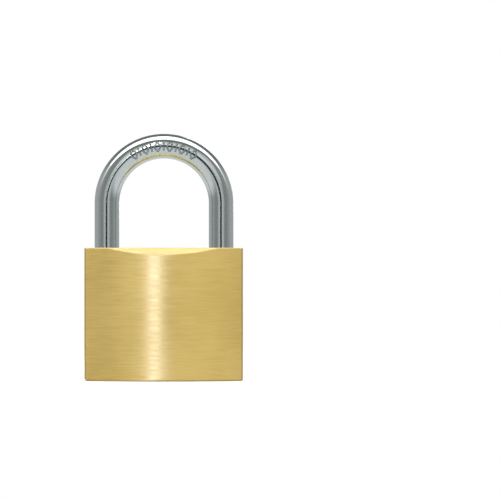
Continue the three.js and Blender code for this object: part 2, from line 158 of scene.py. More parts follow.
ARCH_Z = HEIGHT + STRAIGHT_ABOVE_BODY
TOE_END_Z = HEIGHT + TOE_CLEAR_OF_BODY - SHACKLE_LIFT
TOE_HOLE_FLOOR = TOE_END_Z - TOE_HOLE_BELOW_LEG
LEG_HOLE_RADIUS = ROD_RADIUS + LEG_HOLE_GAP
BOLT_TIP_X = LEG_X - ROD_RADIUS - REST_GAP
BOLT_SPRING_Z = BOLT_AXIS_Z + BOLT_SPRING_RISE
NOTCH_X = (LEG_X - ROD_RADIUS - NOTCH_REACH, BOLT_TIP_X + BOLT_TRAVEL + REST_GAP)
NOTCH_Z = (BOLT_AXIS_Z - BOLT_RADIUS - REST_GAP, BOLT_AXIS_Z + BOLT_RADIUS + REST_GAP)
NECK_Z = (NOTCH_Z[0] - SHACKLE_LIFT, NOTCH_Z[1] - SHACKLE_LIFT)
HEEL_END_Z = NECK_Z[0] - COLLAR_HEIGHT
STOP_PIN_Z = NOTCH_Z[0] + DOWEL_RADIUS + RUNNING_GAP
STOP_SLOT_X = (-LEG_X - ROD_RADIUS - 2 * PAST, -LEG_X - NECK_RADIUS - RUNNING_GAP)
CAM_Z = (PLUG_Z[1] + REST_GAP, CAM_TOP_Z)
CAM_ROOM_TOP_Z = BOLT_AXIS_Z - BOLT_RADIUS + PAST
KEYWAY_TOP_Z = CAM_Z[0] - TONGUE_DEPTH - REST_GAP + PAST
STUD_OFFSET = BOLT_TRAVEL / 2  # along X and Y alike
CHAMBER_HEIGHTS = [FIRST_CHAMBER_Z + CHAMBER_PITCH * i for i in range(CHAMBER_COUNT)]
PLUG_GROOVE_Z = FIRST_CHAMBER_Z + (CHAMBER_COUNT - GROOVE_SHORTFALL) * CHAMBER_PITCH
PLUG_GROOVE_RADIUS = PLUG_RADIUS - 1
DRIVER_START_X = PLUG_RADIUS + SHEAR_GAP
DRIVER_X = (DRIVER_START_X, DRIVER_START_X + DRIVER_LENGTH)
FLUSH_X = HALF_WIDTH - PRESS_GAP  # the outer end of each pressed plug and pin
CHAMBER_PLUG_X = (FLUSH_X - CHAMBER_PLUG_LENGTH, FLUSH_X)

# ---- How finely curves are divided ----

SMALL_ROUND = 48  # sides of a round piece, by its size
MIDDLE_ROUND = 64
LARGE_ROUND = 96
LARGEST_ROUND = 128
WIRE_ROUND = 12
COIL_STEPS = 28  # in each turn
ARCH_STEPS = 144
GROOVE_STEPS = 5  # along each straight stretch
FACE_STEPS = 96  # across the front
CORNER_STEPS = 8
UPRIGHT_STEPS = 12  # up the straight part of the block's side
FOOT_STEPS = 4  # round the eased bottom edge
BEVEL_STEPS = 3  # round the eased edge below the bevel, and above it
TURNED_STEPS = 4
EASED_RIM = 0.4  # a narrow band beside an eased edge, which keeps its shading off the face
SHARP_DEGREES = 32

# ---- Turns ----

KEY_TURNED = Matrix.Rotation(math.pi / 2, 4, "Z")
HALF_ROUND = Matrix.Rotation(math.pi, 4, "Z")
UPSIDE_DOWN = Matrix.Rotation(math.pi, 4, "X")
ALONG_X = Matrix.Rotation(math.pi / 2, 4, "Y")
STANDING = Matrix.Rotation(math.pi / 2, 4, "X")  # turns an (x, y) outline to stand in x and z


def moved(x=0.0, y=0.0, z=0.0):
    return Matrix.Translation((x, y, z))


def along_x(height):
    """Turns a piece made along Z to lie along X at that height."""
    return moved(z=height) @ ALONG_X


def along_minus_x(height):
    """Turns a piece made along Z to lie along -X at that height."""
    return HALF_ROUND @ along_x(height)


# ---- Meshes ----


def new_object(name, points, faces, place=Matrix.Identity(4)):
    """A mesh object from points in millimetres, with doubled points merged and faces turned outwards."""
    mesh = bpy.data.meshes.new(name)
    mesh.from_pydata([(place @ Vector(p)) * MM for p in points], [], faces)
    made = bmesh.new()
    made.from_mesh(mesh)
    bmesh.ops.remove_doubles(made, verts=made.verts, dist=1e-7)
    bmesh.ops.recalc_face_normals(made, faces=made.faces)
    made.to_mesh(mesh)
    made.free()
    obj = bpy.data.objects.new(name, mesh)
    bpy.context.scene.collection.objects.link(obj)
    return obj


def from_rings(name, rings, place=Matrix.Identity(4)):
    """A closed solid through rings of points. A ring of one point is a pole; other ends are capped."""
    points, faces, starts = [], [], []
    for ring in rings:
        starts.append(len(points))
        points.extend(ring)
    for k in range(len(rings) - 1):
        a, b = starts[k], starts[k + 1]
        count_a, count_b = len(rings[k]), len(rings[k + 1])
        for i in range(max(count_a, count_b)):
            j = i + 1
            if count_a == 1:
                faces.append((a, b + i, b + j % count_b))
            elif count_b == 1:
                faces.append((a + i, a + j % count_a, b))
            else:
                faces.append((a + i, a + j % count_a, b + j % count_b, b + i))
    for start, ring in ((starts[0], rings[0]), (starts[-1], rings[-1])):
        if len(ring) > 1:
            faces.append(tuple(range(start, start + len(ring))))
    return new_object(name, points, faces, place)


def eased(outline, size, steps=3):
    """The open outline with each corner rounded off, from `size` before the corner to `size` after it."""
    if size <= 0:
        return list(outline)
    out = [outline[0]]
    for before, corner, after in zip(outline, outline[1:], outline[2:]):
        p, a, b = Vector(corner), Vector(before), Vector(after)
        start = p + (a - p).normalized() * min(size, 0.45 * (a - p).length)
        end = p + (b - p).normalized() * min(size, 0.45 * (b - p).length)
        for i in range(steps + 1):
            t = i / steps
            out.append(tuple(start * (1 - t) ** 2 + p * 2 * t * (1 - t) + end * t**2))
    out.append(outline[-1])
    return out


def circle(radius, height, sides):
    """A level ring of points, or the one point of a pole where there is no radius."""
    if radius < 1e-6:
        return [(0.0, 0.0, height)]
    turns = [2 * math.pi * i / sides for i in range(sides)]
    return [(radius * math.cos(t), radius * math.sin(t), height) for t in turns]


def lathe(name, outline, sides, place=Matrix.Identity(4)):
    """A solid turned about Z from (radius, height) points, then put in place."""
    return from_rings(name, [circle(r, h, sides) for r, h in outline], place)


def bar(name, radius, span, ease, sides, place=Matrix.Identity(4)):
    """A round bar along Z with eased ends, then put in place."""
    low, high = span
    outline = [(0, low), (radius, low), (radius, high), (0, high)]
    return lathe(name, eased(outline, ease), sides, place)


def prism(name, outline, span, place=Matrix.Identity(4)):
    """A prism of an (x, y) outline from z = span[0] to span[1], then put in place."""
    return from_rings(name, [[(x, y, z) for x, y in outline] for z in span], place)


def block(name, x, y, z):
    """A box between two x, two y and two z."""
    return prism(name, [(x[0], y[0]), (x[1], y[0]), (x[1], y[1]), (x[0], y[1])], z)


def combine(obj, others, operation="DIFFERENCE"):
    """Cuts the others from the object, joins them to it or keeps what they share, and removes them."""
    for other in others:
        modifier = obj.modifiers.new("combine", "BOOLEAN")
        modifier.operation = operation
        modifier.solver = "MANIFOLD"
        modifier.object = other
    evaluated = obj.evaluated_get(bpy.context.evaluated_depsgraph_get())
    mesh = bpy.data.meshes.new_from_object(evaluated)
    obj.modifiers.clear()
    obj.data = mesh
    for other in others:
        bpy.data.objects.remove(other)
    return obj


def tube(name, centres, outwards, sideways, radii, sides, place=Matrix.Identity(4)):
    """A solid along a list of centres, with each ring in the plane of its two directions."""
    turns = [2 * math.pi * i / sides for i in range(sides)]
    rings = []
    for centre, outward, side, radius in zip(centres, outwards, sideways, radii):
        if radius < 1e-6:
            rings.append([centre])
        else:
            spokes = [outward * math.cos(t) + side * math.sin(t) for t in turns]
            rings.append([centre + spoke * radius for spoke in spokes])
    return from_rings(name, rings, place)


def headings(centres):
    """The way a path goes at each of its points."""
    ahead = centres[1:] + centres[-1:]
    behind = centres[:1] + centres[:-1]
    return [(a - b).normalized() for a, b in zip(ahead, behind)]


def coil(name, outer_radius, wire_radius, length, turns, place):
    """A coil spring along Z from z = 0, with its first and last turn closed, then put in place."""
    radius = outer_radius - wire_radius
    rise = length - 2 * wire_radius
    closed_rise = 2.1 * wire_radius
    open_rise = (rise - 2 * closed_rise) / (turns - 2)
    centres, outwards = [], []
    for i in range(turns * COIL_STEPS + 1):
        turn = i / COIL_STEPS
        low_turns = min(turn, 1)
        high_turns = max(turn - turns + 1, 0)
        height = (low_turns + high_turns) * closed_rise + (turn - low_turns - high_turns) * open_rise
        outward = Vector((math.cos(2 * math.pi * turn), math.sin(2 * math.pi * turn), 0))
        centres.append(outward * radius + Vector((0, 0, wire_radius + height)))
        outwards.append(outward)
    sideways = [heading.cross(outward) for heading, outward in zip(headings(centres), outwards)]
    return tube(name, centres, outwards, sideways, [wire_radius] * len(centres), WIRE_ROUND, place)


# ---- Pieces ----

pieces = []


def piece(obj, body, node, material):
    """Finishes a mesh as the visible form of a CAD node."""
    mesh = obj.data
    mesh.materials.clear()
    mesh.materials.append(material)
    mesh.shade_smooth()
    mesh.set_sharp_from_angle(angle=math.radians(SHARP_DEGREES))
    weighted = obj.modifiers.new("even_shading", "WEIGHTED_NORMAL")
    weighted.keep_sharp = True
    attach(obj, body)
    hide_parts(node)
    pieces.append(obj)


def body_outline():
    """The block seen from above, as (point, outward normal) pairs, once round."""
    centre_y = FACE_RADIUS - HALF_THICKNESS
    corner_x = HALF_WIDTH - CORNER_RADIUS
    half_angle = math.asin(corner_x / (FACE_RADIUS - CORNER_RADIUS))
    corner_y = (FACE_RADIUS - CORNER_RADIUS) * math.cos(half_angle) - centre_y
    half = []
    for i in range(FACE_STEPS + 1):
        angle = half_angle * (2 * i / FACE_STEPS - 1)
        normal = Vector((math.sin(angle), -math.cos(angle)))
        half.append((normal * FACE_RADIUS + Vector((0, centre_y)), normal))
    corner = range(1, CORNER_STEPS + 1)
    for side, steps in ((-1, corner), (1, reversed(corner))):
        for i in steps:
            angle = half_angle + (math.pi / 2 - half_angle) * i / CORNER_STEPS
            normal = Vector((math.sin(angle), side * math.cos(angle)))
            half.append((Vector((corner_x, side * corner_y)) + normal * CORNER_RADIUS, normal))
    return half + [(-point, -normal) for point, normal in half]


def body_profile(bevel):
    """One side of the block, as (distance in from the face, height) from its foot to its bevelled top."""
    ease = EDGE_EASE
    reach = max(bevel + ease * math.tan(math.pi / 8), ease)
    profile = []
    for i in range(FOOT_STEPS + 1):
        angle = math.pi / 2 * i / FOOT_STEPS
        profile.append((ease * (1 - math.sin(angle)), ease * (1 - math.cos(angle))))
    straight = HEIGHT - reach - ease
    profile.append((0, ease + EASED_RIM))
    for i in range(1, UPRIGHT_STEPS):
        profile.append((0, ease + straight * i / UPRIGHT_STEPS))
    profile.append((0, ease + straight - EASED_RIM))
    for i in range(BEVEL_STEPS + 1):
        angle = math.pi / 4 * i / BEVEL_STEPS
        profile.append((ease * (1 - math.cos(angle)), HEIGHT - reach + ease * math.sin(angle)))
    for i in range(BEVEL_STEPS + 1):
        angle = math.pi / 4 * (1 + i / BEVEL_STEPS)
        profile.append((reach - ease * math.cos(angle), HEIGHT - ease * (1 - math.sin(angle))))
    return profile


def body_shell():
    """The outside of the brass block: barrelled faces, and a flat bevel along each long top edge."""
    turn_start, turn_end = BEVEL_TURN_X
    columns = []
    for point, normal in body_outline():
        bevel = max(0.0, abs(point.y) - HALF_THICKNESS + TOP_BEVEL)
        blend = max(0.0, min(1.0, (abs(point.x) - turn_start) / (turn_end - turn_start)))
        straight_in = Vector((0, -math.copysign(1, point.y)))
        inwards = straight_in.lerp(-normal, blend).normalized()
        columns.append([(*(point + inwards * d), z) for d, z in body_profile(bevel)])
    return from_rings("block", [list(ring) for ring in zip(*columns)])


def bore(radius, span, place, mouth=BORE_COUNTERSINK, sides=SMALL_ROUND):
    """What a drill takes out, along Z from span[0] to its slightly countersunk mouth at span[1]."""
    low, high = span
    outline = [(0, low), (radius, low), (radius, high - mouth)]
    outline += [(radius + mouth + PAST, high + PAST), (0, high + PAST)]
    return lathe("bore", outline, sides, place)


def foot_cutter(side):
    """What is bevelled off the bottom edge of one narrow side."""
    size = FOOT_BEVELS[side] + PAST
    x = side * HALF_WIDTH
    outside = x + side * PAST
    outline = [(outside, size), (outside, -PAST), (x - side * size, -PAST)]
    through = (-12, 12)
    return prism("foot", outline, through, STANDING)


def lock_body():
    """The block with all its holes."""
    toe_side = (PLUG_GROOVE_RADIUS, HALF_WIDTH)
    cutters = [foot_cutter(-1), foot_cutter(1)]
    for x, floor in ((-LEG_X, HEEL_HOLE_FLOOR), (LEG_X, TOE_HOLE_FLOOR)):
        span = (floor, HEIGHT)
        cutters.append(bore(LEG_HOLE_RADIUS, span, moved(x=x), LEG_HOLE_COUNTERSINK, LARGE_ROUND))
    plug_bore = PLUG_RADIUS + RUNNING_GAP
    cutters.append(bore(plug_bore, (-CAM_Z[0], 0), UPSIDE_DOWN, PLUG_FACE_BEVEL, LARGEST_ROUND))
    cam_room = (CAM_Z[0] - PAST, CAM_ROOM_TOP_Z)
    cutters.append(bar("cam_room", CAM_RADIUS + REST_GAP, cam_room, 0, MIDDLE_ROUND))
    bolt_bore = BOLT_RADIUS + RUNNING_GAP
    span = (-LEG_X, HALF_WIDTH)
    place = along_x(BOLT_AXIS_Z)
    cutters.append(bore(bolt_bore, span, place, BOLT_BORE_COUNTERSINK, LARGE_ROUND))
    for height in CHAMBER_HEIGHTS:
        cutters.append(bore(CHAMBER_RADIUS, toe_side, along_x(height)))
    cutters.append(bore(DOWEL_RADIUS + PRESS_GAP, toe_side, along_x(PLUG_GROOVE_Z)))
    cutters.append(bore(DOWEL_RADIUS + PRESS_GAP, (LEG_X, HALF_WIDTH), along_minus_x(STOP_PIN_Z)))
    obj = combine(body_shell(), cutters)
    obj.name = "lock_body"
    return obj


def shackle_stations():
    """The shackle's rod from its heel end to its toe end, as (centre, outward direction, radius)."""
    rod = ROD_RADIUS
    heel = [(0, HEEL_END_Z), (rod - HEEL_END_BEVEL, HEEL_END_Z), (rod, HEEL_END_Z + HEEL_END_BEVEL)]
    heel += [(rod, NECK_Z[0]), (NECK_RADIUS, NECK_Z[0]), (NECK_RADIUS, NECK_Z[1]), (rod, NECK_Z[1])]
    heel += [(rod, z) for z in (HEEL_RING_Z, HEIGHT, ARCH_Z)]
    toe = [(0, TOE_END_Z), (rod - TOE_END_BEVEL, TOE_END_Z), (rod, TOE_END_Z + TOE_END_BEVEL)]
    toe += [(rod, z) for z in (TOE_RING_Z, HEIGHT, ARCH_Z)]
    stations = []
    for r, z in eased(heel, TURNED_EASE, TURNED_STEPS):
        stations.append((Vector((-LEG_X, 0, z)), Vector((-1, 0, 0)), r))
    for i in range(1, ARCH_STEPS):
        angle = math.pi * (1 - i / ARCH_STEPS)
        outward = Vector((math.cos(angle), 0, math.sin(angle)))
        stations.append((outward * LEG_X + Vector((0, 0, ARCH_Z)), outward, rod))
    for r, z in reversed(eased(toe, TURNED_EASE, TURNED_STEPS)):
        stations.append((Vector((LEG_X, 0, z)), Vector((1, 0, 0)), r))
    return stations


def engraved(name, path):
    """A groove's cutter along a path of (degrees along the arch, degrees up the front of the rod)."""
    corners = [Vector(corner) for corner in path]
    spots = []
    for start, end in zip(corners, corners[1:]):
        spots += [start.lerp(end, k / GROOVE_STEPS) for k in range(GROOVE_STEPS)]
    spots.append(corners[-1])
    centres, outwards = [], []
    for spot in spots:
        along, up = spot * math.pi / 180  # in radians
        spoke = Vector((math.sin(along), 0, math.cos(along)))
        normal = spoke * math.sin(up) - Vector((0, math.cos(up), 0))
        centres.append(Vector((0, 0, ARCH_Z)) + spoke * LEG_X + normal * ROD_RADIUS)
        outwards.append(normal)
    sideways = [way.cross(normal).normalized() for way, normal in zip(headings(centres), outwards)]
    return tube(name, centres, outwards, sideways, [GROOVE_RADIUS] * len(centres), WIRE_ROUND)


def stamped_marks():
    """Cutters for the plain row of marks on the front of the arch: hollow rhombuses and upright strokes."""
    wide, tall = MARK_HALF_SIZE
    cutters = []
    for i in range(MARK_COUNT):
        middle = (i - (MARK_COUNT - 1) / 2) * MARK_PITCH
        if i % 2 == 0:
            for side in (-wide, wide):
                path = [(middle, MARK_UP - tall), (middle + side, MARK_UP), (middle, MARK_UP + tall)]
                cutters.append(engraved("rhombus", path))
        else:
            reach = STROKE_SHARE * tall
            path = [(middle, MARK_UP - reach), (middle, MARK_UP + reach)]
            cutters.append(engraved("stroke", path))
    return cutters


def shackle_rod():
    """The shackle, with a notch in each leg, the stop slot and the marks."""
    centres, outwards, radii = zip(*shackle_stations())
    front_to_back = [Vector((0, 1, 0))] * len(centres)
    rod = tube("shackle_rod", centres, outwards, front_to_back, radii, LARGE_ROUND)
    through = (-6, 6)
    slot_half = DOWEL_RADIUS + REST_GAP
    slot_z = (NECK_Z[1] - PAST, STOP_PIN_Z + slot_half)
    cutters = [
        block("notch", NOTCH_X, through, NOTCH_Z),
        block("notch", (-NOTCH_X[1], -NOTCH_X[0]), through, NOTCH_Z),
        block("slot", STOP_SLOT_X, (-slot_half, slot_half), slot_z),
    ]
    return combine(rod, cutters + stamped_marks())


def cylinder_core():
    """The plug that the key turns, made with its chambers towards +X and then turned with the key."""
    plug = PLUG_RADIUS
    low, high = PLUG_Z
    groove_half = DOWEL_RADIUS + RUNNING_GAP
    groove = (PLUG_GROOVE_Z - groove_half, PLUG_GROOVE_Z + groove_half)
    outline = [(0, low), (plug - PLUG_FACE_BEVEL, low), (plug, low + PLUG_FACE_BEVEL)]
    outline += [(plug, groove[0]), (PLUG_GROOVE_RADIUS, groove[0])]
    outline += [(PLUG_GROOVE_RADIUS, groove[1]), (plug, groove[1])]
    outline += [(plug, high), (0, high)]
    core = lathe("cylinder_core", eased(outline, PLUG_EASE), LARGEST_ROUND)
    half_length, half_width = (half + REST_GAP for half in TONGUE_HALF_SIZE)
    slot_z = (CAM_Z[0] - TONGUE_DEPTH - REST_GAP, high + PAST)
    cutters = [
        prism("keyway", KEYWAY, (-PAST, KEYWAY_TOP_Z)),
        block("tongue_slot", (-half_length, half_length), (-half_width, half_width), slot_z),
    ]
    chamber = (CHAMBER_FLOOR_X, plug + PAST)
    for height in CHAMBER_HEIGHTS:
        radius = CHAMBER_RADIUS - PRESS_GAP
        cutters.append(bar("chamber", radius, chamber, 0, SMALL_ROUND, along_x(height)))
    combine(core, cutters)
    core.data.transform(KEY_TURNED)
    return core


def cam():
    """The disc on the plug's inner end: a tongue below that the plug turns, and two studs above."""
    half_length, half_width = TONGUE_HALF_SIZE
    inside = CAM_Z[0] + PAST
    disc = bar("cam_disc", CAM_RADIUS, CAM_Z, CAM_EASE, LARGE_ROUND)
    tongue_z = (CAM_Z[0] - TONGUE_DEPTH, inside)
    joined = [block("tongue", (-half_length, half_length), (-half_width, half_width), tongue_z)]
    for side in (1, -1):
        place = moved(x=side * STUD_OFFSET, y=side * STUD_OFFSET)
        stud_z = (inside, BOLT_AXIS_Z - STUD_SHORT_OF_AXIS)
        joined.append(bar("stud", STUD_RADIUS, stud_z, STUD_EASE, SMALL_ROUND, place))
    combine(disc, joined, "UNION")
    disc.data.transform(KEY_TURNED)
    return disc


def bolt(name):
    """The toe side's bolt, drawn back; the heel side's is the same piece turned half round.

    A thin shelf runs from it past the middle, beside the other bolt's, and has a lug under its end.
    """
    place = along_x(BOLT_AXIS_Z)
    lug_face = -STUD_OFFSET - STUD_RADIUS - RUNNING_GAP
    lug_end = lug_face - LUG_THICKNESS
    shelf_top = BOLT_AXIS_Z - RUNNING_GAP
    shelf = (shelf_top - LUG_THICKNESS, shelf_top)
    barrel = bar(name, BOLT_RADIUS, (BOLT_INNER_X, BOLT_TIP_X), BOLT_EASE, LARGE_ROUND, place)
    arm = bar("arm", BOLT_RADIUS, (lug_end, BOLT_INNER_X + PAST), 0, LARGE_ROUND, place)
    past_radius = 4
    beside = (RUNNING_GAP, past_radius)
    hook = block("hook", (lug_end - PAST, BOLT_INNER_X + 2 * PAST), beside, shelf)
    lug = block("lug", (lug_end - PAST, lug_face), beside, (BOLT_AXIS_Z - past_radius, shelf_top))
    combine(hook, [lug], "UNION")
    combine(arm, [hook], "INTERSECT")
    combine(barrel, [arm], "UNION")
    beyond = BOLT_TIP_X + PAST
    bevel_foot = BOLT_AXIS_Z - 0.3
    reach = 4.5
    bevel = [(beyond, bevel_foot), (beyond, BOLT_AXIS_Z + reach), (beyond - reach, bevel_foot + reach)]
    through = (-5, 5)
    spring_hole = along_x(BOLT_SPRING_Z)
    cutters = [
        bar("spring_hole", BOLT_SPRING_HOLE_RADIUS, BOLT_SPRING_HOLE, 0, SMALL_ROUND, spring_hole),
        prism("bevel", bevel, through, STANDING),
    ]
    return combine(barrel, cutters)


def key_pin(name, tip, height):
    """A key pin, its outer end just inside the plug's surface, and turned with the key."""
    radius = PIN_RADIUS
    top = PLUG_RADIUS - RUNNING_GAP
    outline = [(0, tip), (radius - PIN_TIP_BEVEL, tip), (radius, tip + PIN_TIP_BEVEL)]
    outline += [(radius, top), (0, top)]
    return lathe(name, eased(outline, KEY_PIN_EASE), SMALL_ROUND, KEY_TURNED @ along_x(height))


# ---- Materials ----


class Nodes:
    """Short ways to add shader nodes to a tree."""

    def __init__(self, tree):
        self.tree = tree
        self.coordinates = tree.nodes.new("ShaderNodeTexCoord").outputs

    def wire(self, node, inputs):
        """Sets a node's inputs: a socket is linked, and anything else is the input's own value."""
        for key, value in inputs.items():
            if isinstance(value, bpy.types.NodeSocket):
                self.tree.links.new(value, node.inputs[key])
            else:
                node.inputs[key].default_value = value

    def add(self, kind, inputs=None, **settings):
        node = self.tree.nodes.new(kind)
        for key, value in settings.items():
            setattr(node, key, value)
        self.wire(node, inputs or {})
        return node

    def math(self, operation, a, b=0.0):
        return self.add("ShaderNodeMath", {0: a, 1: b}, operation=operation).outputs[0]

    def split(self, vector):
        return self.add("ShaderNodeSeparateXYZ", {0: vector}).outputs

    def length(self, x, y):
        """The hypotenuse of two sides."""
        pair = self.add("ShaderNodeCombineXYZ", {0: x, 1: y}).outputs[0]
        return self.add("ShaderNodeVectorMath", {0: pair}, operation="LENGTH").outputs["Value"]

    def remap(self, value, low, high, start=0.3, end=0.7, **settings):
        """Low where the value is at its start, high where it is at its end, and a ramp between."""
        inputs = {0: value, 1: start, 2: end, 3: low, 4: high}
        return self.add("ShaderNodeMapRange", inputs, **settings).outputs[0]

    def ease(self, value, start, end):
        return self.remap(value, 0.0, 1.0, start, end, interpolation_type="SMOOTHSTEP")

    def mix(self, factor, a, b):
        return self.add("ShaderNodeMix", {0: factor, 2: a, 3: b}).outputs[0]

    def tint(self, factor, a, b):
        """A mix of two colours, each a socket or (red, green, blue)."""
        node = self.add("ShaderNodeMix", {0: factor}, data_type="RGBA")
        colours = [c if isinstance(c, bpy.types.NodeSocket) else (*c, 1) for c in (a, b)]
        self.wire(node, {6: colours[0], 7: colours[1]})
        return node.outputs[2]


class Recipe(Nodes):
    """A procedural material, built node by node."""

    def __init__(self, name):
        self.material = bpy.data.materials.new(name)
        self.material.use_nodes = True
        super().__init__(self.material.node_tree)
        self.shader = next(n for n in self.tree.nodes if n.type == "BSDF_PRINCIPLED")

    def noise(self, per_metre, detail=2.0, roughness=0.5):
        """Noise whose features repeat so many times per metre along X, Y and Z."""
        spread = {"Vector": self.coordinates["Object"], "Scale": per_metre}
        stretched = self.add("ShaderNodeMapping", spread).outputs[0]
        inputs = {"Vector": stretched, "Scale": 1.0, "Detail": detail, "Roughness": roughness}
        return self.add("ShaderNodeTexNoise", inputs).outputs["Fac"]

    def finish(self, base, roughness, height=None, depth=0.0, strength=1.0, **sockets):
        """Joins everything to the shader as a metal."""
        inputs = {"Base Color": base, "Metallic": 1.0, "Roughness": roughness, **sockets}
        if height is not None:
            bump_inputs = {"Height": height, "Distance": depth, "Strength": strength}
            inputs["Normal"] = self.add("ShaderNodeBump", bump_inputs).outputs[0]
        self.wire(self.shader, inputs)
        return self.material


BRASS_DARK = (0.86, 0.60, 0.15)
BRASS_LIGHT = (0.99, 0.71, 0.20)
# The colour of the painted shade underneath and along the rounded edges.
BRASS_PAINTED_SHADE = (0.30, 0.19, 0.05)


def brushed_brass():
    """Lacquered brass, brushed level on its sides and along X on its top and bottom.

    It has painted shade underneath, along its upright and bottom edges, and on parts of the walls of its
    holes.
    """
    r = Recipe("brushed_brass")
    across, forward, upward = r.split(r.coordinates["Normal"])
    level = r.remap(r.math("ABSOLUTE", upward), 0.0, 1.0, 0.88, 0.92)
    fine = r.mix(level, r.noise((150, 150, 2800), 4), r.noise((150, 2800, 150), 4))
    broad = r.mix(level, r.noise((40, 40, 1000), 2), r.noise((40, 1000, 40), 2))
    streaks = r.mix(0.25, fine, broad)
    shade = r.mix(0.35, streaks, r.noise((60, 60, 60), 3))
    base = r.tint(r.remap(shade, 0, 1, 0.42, 0.58), BRASS_DARK, BRASS_LIGHT)
    # Painted shade: darker where the surface faces down, as next to the table, and on the rounded upright
    # and bottom edges that do not face up.
    underside = r.remap(upward, 0.65, 0.0, -0.2, -0.02)
    squareness = r.math("MAXIMUM", r.math("ABSOLUTE", across), r.math("ABSOLUTE", forward))
    edge = r.math("MULTIPLY", r.ease(squareness, 0.93, 0.8), r.ease(upward, -0.98, -0.9))
    edge = r.math("MULTIPLY", edge, r.remap(upward, 0.8, 0.0, 0.0, 0.2))
    painted_shade = r.math("MAXIMUM", underside, edge)
    tangent = r.add("ShaderNodeTangent", direction_type="UV_MAP", uv_map="brushing").outputs[0]
    brushing = {"Tangent": tangent, "Anisotropic": 1.0, "Metallic": 0.85}
    lacquer = {"Coat Weight": 0.5, "Coat Roughness": 0.2, "Coat IOR": 1.5}
    roughness = r.remap(streaks, 0.3, 0.48, 0.35, 0.65)
    base = r.tint(painted_shade, base, BRASS_PAINTED_SHADE)
    return r.finish(base, roughness, fine, 1.2e-5, 0.7, **brushing, **lacquer)


def turned_brass():
    """Brass with fine level streaks, for the plug and the key pins."""
    r = Recipe("turned_brass")
    streaks = r.noise((900, 900, 5000), 3)
    base = r.tint(r.remap(streaks, 0, 1), (0.52, 0.36, 0.11), (0.66, 0.48, 0.19))
    return r.finish(base, r.remap(streaks, 0.2, 0.36), streaks, 5e-6, 0.5)


def chrome():
    """Plating over a slightly uneven rod, with painted shade wherever the rod is stamped, notched or turned
    down.
    """
    r = Recipe("chrome")
    speckle = r.noise((2600, 2600, 2600), 3, 0.6)
    swell = r.noise((160, 160, 160), 2)
    x, y, z = r.split(r.coordinates["Object"])
    above_legs = r.math("MAXIMUM", r.math("SUBTRACT", z, ARCH_Z * MM))
    from_middle = r.length(x, above_legs)
    from_axis = r.length(r.math("SUBTRACT", from_middle, LEG_X * MM), y)
    shallow, deep = 0.03, 0.16  # under the rod's surface, where the darkening starts and is full
    # Painted shade: the plating is coloured darker inside the stamped marks, the notches and the neck.
    cut = r.remap(from_axis, 1.0, 0.0, (ROD_RADIUS - deep) * MM, (ROD_RADIUS - shallow) * MM)
    bright = r.tint(r.remap(speckle, 0, 1), (0.575, 0.64, 0.635), (0.69, 0.76, 0.755))
    painted_shade_colour = r.tint(r.remap(speckle, 0, 1), (0.28, 0.31, 0.31), (0.50, 0.555, 0.55))
    roughness = r.mix(cut, r.remap(speckle, 0.05, 0.14), 0.1)
    return r.finish(r.tint(cut, bright, painted_shade_colour), roughness, r.mix(0.12, swell, speckle), 1.5e-5, 0.5)


def ground_steel():
    """Steel with fine grinding lines along X."""
    r = Recipe("ground_steel")
    streaks = r.noise((300, 3500, 3500), 3)
    base = r.tint(r.remap(streaks, 0, 1), (0.33, 0.335, 0.34), (0.5, 0.505, 0.51))
    return r.finish(base, r.remap(streaks, 0.25, 0.45), streaks, 5e-6, 0.5)


def spring_wire():
    """Drawn steel wire, slightly mottled."""
    r = Recipe("spring_wire")
    drawn = r.noise((2500, 2500, 2500), 3)
    base = r.tint(r.remap(drawn, 0, 1), (0.4, 0.41, 0.42), (0.58, 0.59, 0.6))
    return r.finish(base, r.remap(drawn, 0.2, 0.38), drawn, 4e-6, 0.5)


BRUSHED_BRASS = brushed_brass()
TURNED_BRASS = turned_brass()
CHROME = chrome()
STEEL = ground_steel()
WIRE = spring_wire()


def lay_brushing(obj):
    """A UV map whose U runs across the brushing lines, which tells the shader which way they lie."""
    mesh = obj.data
    layer = mesh.uv_layers.new(name="brushing")
    for polygon in mesh.polygons:
        flat = abs(polygon.normal.z) > 0.9
        for loop in polygon.loop_indices:
            point = mesh.vertices[mesh.loops[loop].vertex_index].co / MM / 100
            layer.data[loop].uv = (point.y, point.x) if flat else (point.z, point.x + point.y)


# ---- Assembly ----

piece(lock_body(), "housing", "body", BRUSHED_BRASS)
piece(shackle_rod(), "shackle", "shackle", CHROME)
piece(cylinder_core(), "cylinder", "cylinder_plug", TURNED_BRASS)
piece(cam(), "cylinder", "cam", STEEL)
piece(bolt("latch_toe"), "toe_bolt", "toe_bolt", STEEL)
heel_latch = bolt("latch_heel")
heel_latch.data.transform(HALF_ROUND)
piece(heel_latch, "heel_bolt", "heel_bolt", STEEL)

side_plug_radius = BOLT_RADIUS + PRESS_GAP
span = (SIDE_PLUG_START_X, FLUSH_X)
place = along_x(BOLT_AXIS_Z)
plug = bar("side_plug", side_plug_radius, span, SIDE_PLUG_EASE, LARGE_ROUND, place)
piece(plug, "housing", "bolt_bore_plug", BRUSHED_BRASS)
span = (STOP_PIN_TIP_X, FLUSH_X)
place = along_minus_x(STOP_PIN_Z)
pin = bar("stop_pin", DOWEL_RADIUS, span, DOWEL_EASE, SMALL_ROUND, place)
piece(pin, "housing", "shackle_stop_pin", BRUSHED_BRASS)
span = (PLUG_GROOVE_RADIUS + RUNNING_GAP, FLUSH_X)
place = along_x(PLUG_GROOVE_Z)
pin = bar("retaining_pin", DOWEL_RADIUS, span, DOWEL_EASE, SMALL_ROUND, place)
piece(pin, "housing", "plug_retaining_pin", BRUSHED_BRASS)

place = moved(-LEG_X, 0, HEEL_HOLE_FLOOR + RUNNING_GAP)
spring = coil("leg_spring", place=place, **LEG_SPRING)
piece(spring, "housing", "shackle_spring", WIRE)
place = along_x(BOLT_SPRING_Z) @ moved(z=-BOLT_SPRING["length"] / 2)
spring = coil("latch_spring", place=place, **BOLT_SPRING)
piece(spring, "housing", "bolt_spring", WIRE)

